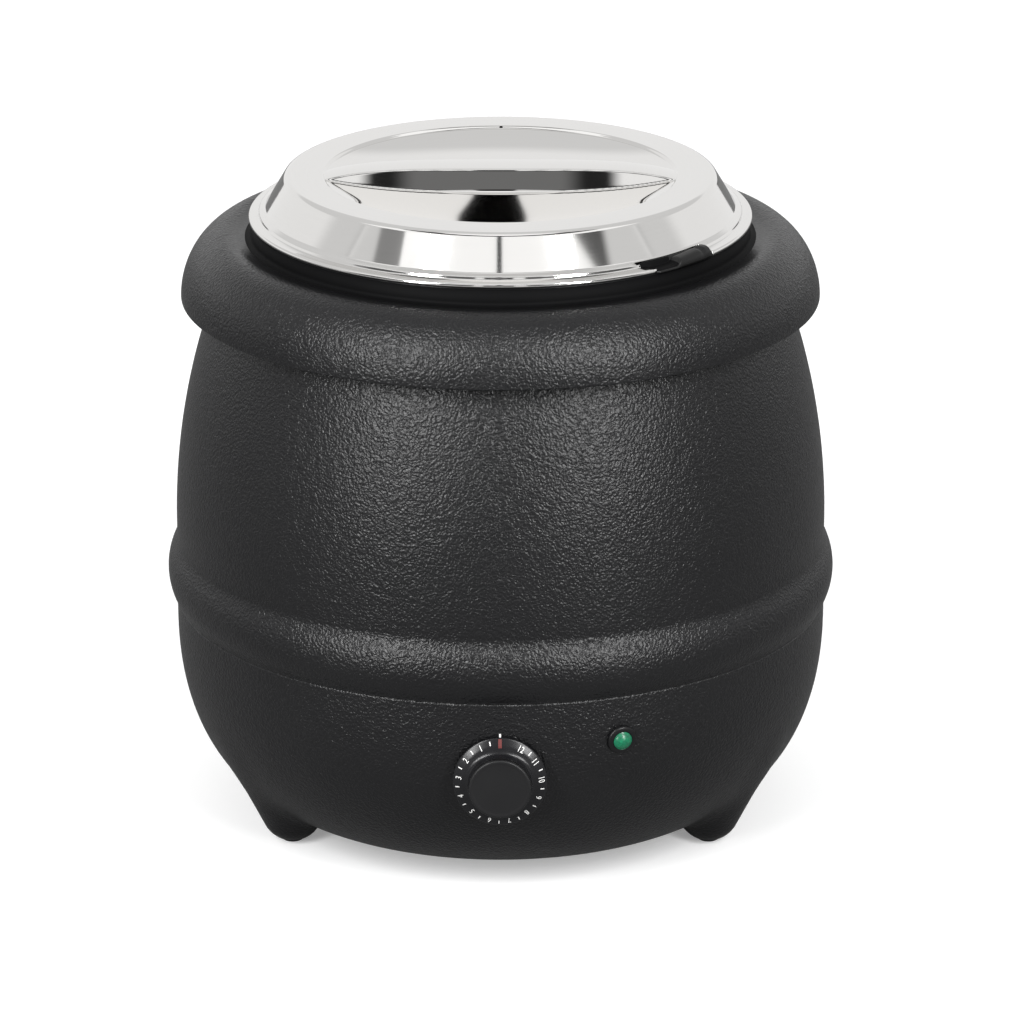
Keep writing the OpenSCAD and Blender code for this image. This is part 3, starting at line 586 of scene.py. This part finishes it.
# Lid sheet: the dish is cut into the bridge top and two half-moon scoops whose columns run straight back,
# so that edges follow the bridge; outside it rings follow the section
def makeLid():
    columns, edge = 170, 86.4
    half = lid["gripHalf"] + lid["bow"] + 4.0
    tip = math.asin(half / edge)
    sweep = np.linspace(tip, math.pi - tip, columns)
    xs = edge * np.cos(sweep)
    share = np.concatenate([np.linspace(0.0, 0.16, 12), np.linspace(0.17, 1.0, 44)])
    back = np.sqrt(edge ** 2 - xs ** 2)
    ys = half + (back - half) * share[:, None]
    rear = np.stack([np.broadcast_to(xs, ys.shape), ys, lidHeight(xs[None], ys)], -1)
    front = rear * np.array([1.0, -1.0, 1.0])
    across = np.concatenate([np.linspace(-half, -6.8, 32), np.linspace(-6.4, 6.4, 11), np.linspace(6.8, half, 32)])
    endX = np.sqrt(edge ** 2 - across ** 2)
    run = xs / xs[0]
    isEnd = np.abs(run[:, None]) > 0.9999
    bx = run[:, None] * np.where(isEnd, endX, xs[0])  # the end columns follow the dish's round edge
    by = np.broadcast_to(across, bx.shape)
    bridge = np.stack([bx, by, lidHeight(bx, by)], -1)
    # one ring of angles passes through every edge point of the three patches
    ends = np.arcsin(across / edge)[1:-1]
    ringAngles = np.concatenate([sweep, math.pi - ends, -sweep, ends])
    ringAngles = np.unique(np.round(np.mod(ringAngles, 2 * math.pi), 9))
    section = np.vstack([[[r, 0.0] for r in np.linspace(edge, 89.3, 16)], lidSection])
    ring = np.stack([section[:, :1] * np.cos(ringAngles), section[:, :1] * np.sin(ringAngles),
                     np.repeat(section[:, 1:], len(ringAngles), 1)], -1)
    ring[:16, :, 2] = lidHeight(ring[:16, :, 0], ring[:16, :, 1])
    parts, faces, count = [], [], 0
    for patch, wrap in ((rear, False), (front, False), (bridge, False), (ring, True)):
        parts.append(patch.reshape(-1, 3))
        f = gridFaces(patch.shape[0], patch.shape[1], False, wrap, count)
        if patch is ring:
            middle = patch.reshape(-1, 3)[f - count].mean(1)
            u = (np.degrees(np.arctan2(middle[:, 0], -middle[:, 1])) - lid["notchTurn"]) / lid["notchHalf"]
            far = np.hypot(middle[:, 0], middle[:, 1])
            f = f[~((np.abs(u) < 1.0) & (far > lid["notchR"]) & ((far < trimEdge(u)) | (u > -0.58)))]
        faces.append(f)
        count += len(parts[-1])
    piece = newPiece("lidSheet", np.concatenate(parts), np.concatenate(faces), finishes["polished_steel"],
                     merge=0.002)
    thick = piece.modifiers.new("sheet", "SOLIDIFY")
    thick.thickness = lid["sheet"] * mm
    thick.offset = -1.0
    thick.use_even_offset = True
    dress(piece, "cover", "polished_steel", "lid")


# Ladle trim: a channel bent round the rim. It starts as an open scoop with a high back, becomes a tube and
# ends in a raised ring
def makeTrim():
    low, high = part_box("ladle_trim")
    bottom, top = low[2] / mm, high[2] / mm
    inner, halfTurn = trim["inner"], trim["halfTurn"]
    u = np.linspace(-1.0, 1.0, 141)
    v = np.linspace(0.0, 1.0, 41)
    lift = np.interp(u, [-1.0, -0.62, -0.12, 0.0, 0.60, 0.68, 0.76, 0.93, 1.0],
                     [0.42, 0.20, 0.24, 0.72, 0.90, 0.80, 1.0, 0.98, 0.40])
    lift = np.convolve(np.pad(lift, 2, "edge"), np.full(5, 0.2), "valid")
    section = np.sqrt(np.clip(1.0 - np.abs(2.0 * v - 1.0) ** 2.6, 0.0, 1.0))
    back = 0.72 * smoothStep(0.30, 0.05, v)[None] * np.sqrt(np.clip(1.0 - np.abs(u) ** 8, 0.0, 1.0))[:, None]
    z = bottom + 0.02 + (top - bottom) * np.maximum(lift[:, None] * (0.2 + 0.8 * section), back)
    angle = np.radians(lid["notchTurn"] - 90.0 + halfTurn * u)[:, None]
    r = inner + (trimEdge(u)[:, None] - inner) * v
    upper = np.stack([r * np.cos(angle), r * np.sin(angle), z], -1)

    def slab(name, face, depth, finish):
        lower = face[:, ::-1].copy()
        lower[..., 2] = depth(lower[..., 2])
        loop = np.concatenate([face, lower], 1)
        rows, cols = loop.shape[:2]
        ends = [list(range(cols))[::-1], list(range((rows - 1) * cols, rows * cols))]
        sides = gridFaces(rows, cols, False, True).tolist()
        dress(newPiece(name, loop, sides + ends, finish), "cover", "trim_rubber", "ladle_trim")

    slab("ladleTrim", upper, lambda deep: deep * 0 + bottom, finishes["trim_rubber"])
    # Painted shade: a near-black sheet laid just over the open scoop, standing in for the shade inside its hollow
    scoop = upper[6:66, 3:38] + np.array([0.0, 0.0, 0.12])
    slab("trimScoopPaintedShade", scoop, lambda deep: deep - 0.3, paintedShadeFinish)


print("lid")
makeLid()
makeTrim()


dial = {"sweep": 330.0, "numbers": 12, "digit": 3.1, "digitR": 18.9, "tickR": 19.9, "tickLong": 1.9, "tickWide": 0.5,
        "zeroR": 18.4, "zeroLong": 4.0, "zeroWide": 1.7, "proud": 0.09}

# Section of the skirt's face: rim, sloping scale, valley, then the grip wall
skirtFace = eased([[22.9, 1.7], [22.9, 2.5], [19.4, 4.3], [16.9, 5.1], [15.75, 5.9], [15.2, 8.0], [15.2, 9.5]], 0.7, 7)


# Height of the scale at radius r, read off the sloping part of the section
def scaleHeight(r):
    face = skirtFace[5:-9][::-1]
    return np.interp(r, face[:, 0], face[:, 1])


# Dial frame: x right and y up as seen from the front, z out of the wall
def atDial(g):
    return np.stack([g[..., 0], -(dialFace + g[..., 2]), dialHeight + g[..., 1]], -1)


def makeSkirt():
    outline = np.vstack([skirtFace, [[3.05, 9.5], [3.05, 7.0], [14.0, 6.9], [14.0, 4.6], [18.6, 2.9], [22.2, 1.6]]])
    piece = revolved("dialSkirt", outline, 180, finishes["dial_plastic"], place=atDial)
    dress(piece, "knob", "dial_plastic", "dial_skirt")


# Grip cap: flat face with a shallow sunk middle and a rounded edge
def makeCap():
    top = 12.8
    outline = np.vstack([[[0.0, 9.5], [15.2, 9.5], [15.2, top - 1.0]], arc(14.2, top - 1.0, 1.0, 8, 90, 10),
                         [[13.6, top], [13.1, top - 0.12], [12.6, top - 0.15], [6.0, top - 0.15], [0.0, top - 0.15]]])
    piece = revolved("gripCap", outline, 180, finishes["cap_plastic"], closed=False, place=atDial)
    dress(piece, "knob", "cap_plastic", "knob_cap")


# Lays flat marks (x across, y outwards from the radius) on the scale at a turn clockwise from the top
def onScale(flat, turn, radius, lift):
    a = math.radians(90.0 - turn)
    r = radius + flat[:, 1]
    across = flat[:, 0]
    x = r * math.cos(a) + across * math.sin(a)
    y = r * math.sin(a) - across * math.cos(a)
    return atDial(np.stack([x, y, scaleHeight(np.hypot(x, y)) + lift], -1))


# A printed bar: four corners down the scale with a little thickness
def bar(turn, radius, wide, long):
    steps = np.linspace(0.0, long, 5)
    left, right = np.stack([steps * 0 - wide / 2, steps], -1), np.stack([steps * 0 + wide / 2, steps], -1)
    rows = [onScale(side, turn, radius, lift) for lift in (dial["proud"], -0.1) for side in (left, right)]
    return np.stack([rows[0], rows[1], rows[3], rows[2]], 1)


# Ticks halfway between the numbers, and the red zero mark
def makeMarks():
    bars = []
    for i in range(1, dial["numbers"] * 2):
        if i % 2:
            turn = -dial["sweep"] * (i - 0.02) / (dial["numbers"] * 2)
            bars.append(bar(turn, dial["tickR"], dial["tickWide"], dial["tickLong"]))
    faces = [corners for i in range(len(bars)) for corners in prismFaces(5, i * 20)]
    dress(newPiece("dialTicks", np.concatenate(bars), faces, whitePrint, smooth=False), "knob", "dial_plastic")
    zero = bar(0.0, dial["zeroR"], dial["zeroWide"], dial["zeroLong"])
    dress(newPiece("zeroMark", zero, prismFaces(5), redPrint, smooth=False), "knob", "dial_plastic")


# Numbers: each figure's outline is filled, given thickness and laid on the scale
def makeNumbers():
    for i in range(1, dial["numbers"] + 1):
        curve = bpy.data.curves.new("number", "FONT")
        curve.body = str(i)
        curve.size = 1.0
        curve.align_x = "CENTER"
        curve.resolution_u = 3
        holder = bpy.data.objects.new("number", curve)
        scene.collection.objects.link(holder)
        graph = bpy.context.evaluated_depsgraph_get()
        mesh = bpy.data.meshes.new_from_object(holder.evaluated_get(graph))
        bpy.data.objects.remove(holder)
        flat = np.empty(len(mesh.vertices) * 3)
        mesh.vertices.foreach_get("co", flat)
        flat = flat.reshape(-1, 3)[:, :2] * dial["digit"] * 1.35
        turn = -dial["sweep"] * i / dial["numbers"]
        placed = onScale(flat * np.array([0.82, 1.0]), turn, dial["digitR"], dial["proud"])
        mesh.vertices.foreach_set("co", (placed * mm).ravel())
        mesh.materials.clear()
        mesh.materials.append(whitePrint)
        mesh.name = f"number{i}"
        piece = bpy.data.objects.new(f"number{i}", mesh)
        scene.collection.objects.link(piece)
        thick = piece.modifiers.new("paint", "SOLIDIFY")
        thick.thickness = 0.15 * mm
        dress(piece, "knob", "dial_plastic")


index = {"low": 98.2, "high": 100.2, "wide": 0.9, "wall": 165.93}


# Index line on the wall just above the dial
def makeIndex():
    z = np.linspace(index["low"], index["high"], 6)[:, None]
    x = np.array([[-1.0, 1.0]]) * index["wide"] / 2
    front = np.stack(np.broadcast_arrays(x, -(index["wall"] + 0.12), z), -1)
    back = np.stack(np.broadcast_arrays(x[:, ::-1], -(index["wall"] - 0.3), z), -1)
    piece = newPiece("indexLine", np.concatenate([front, back], 1), prismFaces(6), whitePrint, smooth=False)
    dress(piece, "housing", "black_powder_coat")


print("dial")
makeSkirt()
makeCap()
makeMarks()
makeNumbers()
makeIndex()


lamp = {"turn": 20.9, "tilt": 7.6, "wall": 165.4, "height": 93.0}


# Lamp frame: z out of the wall, tilted down a little and turned to the right
def atLamp(g):
    tilt, turn = math.radians(lamp["tilt"]), math.radians(lamp["turn"])
    x, up, out = g[..., 0], g[..., 1], g[..., 2]
    forward = out * math.cos(tilt) + up * math.sin(tilt) + lamp["wall"]
    z = lamp["height"] + up * math.cos(tilt) - out * math.sin(tilt)
    along, across = x * math.cos(turn) + forward * math.sin(turn), x * math.sin(turn) - forward * math.cos(turn)
    return np.stack([along, across, z], -1)


def makeLamp():
    bezel = np.vstack([[[4.7, -11.0], [4.9, -11.0], [4.9, -0.4], [7.4, -0.4]], arc(6.4, 1.0, 1.0, 0, 80, 8),
                       arc(5.2, 1.8, 0.5, 90, 180, 6)])
    piece = revolved("lampBezel", bezel, 96, finishes["black_plastic"], place=atLamp)
    dress(piece, "housing", "black_plastic", "lamp_bezel")
    dome = np.vstack([[[0.0, -3.0], [4.6, -3.0], [4.6, 2.6]], arc(0.0, -0.9, 5.54, 38, 90, 20)])
    piece = revolved("lampLens", dome, 96, finishes["green_lens"], closed=False, place=atLamp)
    dress(piece, "housing", "green_lens", "lamp_lens")


print("lamp")
makeLamp()


print("stage")
view = {"pitch": 19.7, "distance": 2.56, "aimX": 0.0058, "aimZ": 0.155, "lens": 175.7}


def makeCamera():
    pitch = math.radians(view["pitch"])
    data = bpy.data.cameras.new("camera")
    data.lens = view["lens"]
    data.sensor_width = 36.0
    data.clip_end = 50.0
    holder = bpy.data.objects.new("camera", data)
    holder.location = (view["aimX"], -view["distance"] * math.cos(pitch),
                       view["aimZ"] + view["distance"] * math.sin(pitch))
    holder.rotation_euler = (math.pi / 2 - pitch, 0.0, 0.0)
    scene.collection.objects.link(holder)
    scene.camera = holder


def makeFloor():
    floorMaterial = bpy.data.materials.new("floorPaper")
    floorMaterial.use_nodes = True
    f = Finish(floorMaterial.node_tree)
    where = f.node("ShaderNodeTexCoord", None, None, "Object")
    grain = f.noise(where, 3.0, 3.0, 0.5)
    shade = f.mixColour(grain, colour(0.80, 0.80, 0.80), colour(0.84, 0.84, 0.84))
    pale = f.node("ShaderNodeBsdfPrincipled", None,
                  {"Base Color": shade, "Roughness": 0.95, "Emission Color": colour(1.0, 1.0, 1.0),
                   "Emission Strength": 0.25})
    grey = f.node("ShaderNodeBsdfPrincipled", None, {"Base Color": colour(0.21, 0.21, 0.21), "Roughness": 0.95})
    seen = f.node("ShaderNodeLightPath", None, None, "Is Camera Ray")
    shader = f.node("ShaderNodeMixShader", None, {0: seen, 1: grey, 2: pale})
    f.node("ShaderNodeOutputMaterial", None, {"Surface": shader})
    a = np.linspace(0, 2 * math.pi, 64, endpoint=False)
    points = np.stack([9000 * np.cos(a), 9000 * np.sin(a), a * 0], -1)
    floor = newPiece("floor", points, [list(range(64))], floorMaterial, smooth=False)


# A soft box of even brightness that looks at the kettle from an azimuth and elevation in degrees
def softBox(name, azimuth, elevation, distance, width, height, radiance):
    data = bpy.data.lights.new(name, "AREA")
    data.shape = "RECTANGLE"
    data.size, data.size_y = width, height
    data.energy = radiance * math.pi * width * height
    holder = bpy.data.objects.new(name, data)
    az, el = math.radians(azimuth), math.radians(elevation)
    holder.location = (distance * math.sin(az) * math.cos(el), -distance * math.cos(az) * math.cos(el),
                       0.3 + distance * math.sin(el))
    holder.rotation_euler = (math.pi / 2 - el, 0.0, az)
    scene.collection.objects.link(holder)


room = {"back": 0.95, "wall": 0.74, "flag": 0.11, "leftFlag": 0.28, "gap": 0.10, "panel": 1.3, "fill": 1.2,
        "strip": 1.0, "centre": 0.16, "low": 0.10, "dark": 0.02}


# Brightness of the room by direction: white behind the kettle, panels and dark flags round the camera
def makeRoom():
    world = bpy.data.worlds.new("room")
    world.use_nodes = True
    scene.world = world
    f = Finish(world.node_tree)
    x, y, z = f.split(f.node("ShaderNodeTexCoord", None, None, "Generated"))
    degrees = 180.0 / math.pi
    azimuth = f.node("ShaderNodeMath", {"operation": "ARCTAN2"}, {0: x, 1: y * -1.0}) * degrees
    rise = f.node("ShaderNodeMath", {"operation": "ARCSINE"}, {0: z}) * degrees
    side = f.node("ShaderNodeMath", {"operation": "ABSOLUTE"}, {0: azimuth})

    def above(value, low, soft):
        return f.node("ShaderNodeMapRange", {"interpolation_type": "SMOOTHSTEP"},
                      {0: value, 1: low - soft, 2: low + soft, 3: 0.0, 4: 1.0})

    def within(value, low, high, soft):
        return above(value, low, soft) * (1.0 - above(value, high, soft))

    front = 1.0 - above(side, 96.0, 5.0)
    bands = room["wall"] * (above(azimuth, 62.9, 2.5) + 1.0 - above(azimuth, -72.8, 1.5)) \
        + room["panel"] * (within(azimuth, -58.3, -32.9, 0.8) + within(azimuth, 21.8, 43.5, 1.6)) \
        + room["flag"] * within(azimuth, 43.5, 62.9, 1.5) + room["leftFlag"] * within(azimuth, -72.8, -58.3, 1.5) \
        + room["gap"] * within(azimuth, -32.9, 21.8, 1.0)
    web = room["strip"] * (within(azimuth, 6.2, 12.0, 0.5) + within(azimuth, -12.0, -7.6, 0.5)) \
        + room["centre"] * within(azimuth, -5.5, 3.9, 0.8) + room["low"] * above(side, 12.0, 1.0) + room["dark"]
    low = web * (1.0 - above(side, 66.0, 2.0)) + bands * above(side, 66.0, 2.0)
    below = low * within(rise, -5.0, 33.0, 1.0) + bands * within(rise, 33.0, 42.8, 0.4) \
        + room["fill"] * within(rise, 42.8, 61.0, 0.4) * (1.0 - within(azimuth, -2.0, 0.9, 0.12)) \
        + room["dark"] * within(rise, 61.0, 74.0, 1.0) + room["panel"] * above(rise, 74.0, 1.0)
    middle = above(rise, 25.0, 2.0) * (1.0 - above(rise, 74.0, 1.0))
    rear = room["wall"] + (room["back"] - room["wall"]) * (1.0 - middle)
    level = below * front + rear * (1.0 - front)
    seen = f.node("ShaderNodeLightPath", None, None, "Is Camera Ray")
    shade = f.mixColour(seen, f.join(level, level, level), colour(1.0, 1.0, 1.0))
    back = f.node("ShaderNodeBackground", None, {"Color": shade, "Strength": 1.0})
    f.node("ShaderNodeOutputWorld", None, {"Surface": back})


boxes = {"elevation": 24.0, "distance": 2.4, "width": 0.40, "height": 1.7}
makeCamera()
makeFloor()
makeRoom()
for name, azimuth, radiance in (("leftBox", -37.0, 30.0), ("rightBox", 34.5, 29.0)):
    softBox(name, azimuth, boxes["elevation"], boxes["distance"], boxes["width"], boxes["height"], radiance)
scene.view_settings.view_transform = "Standard"
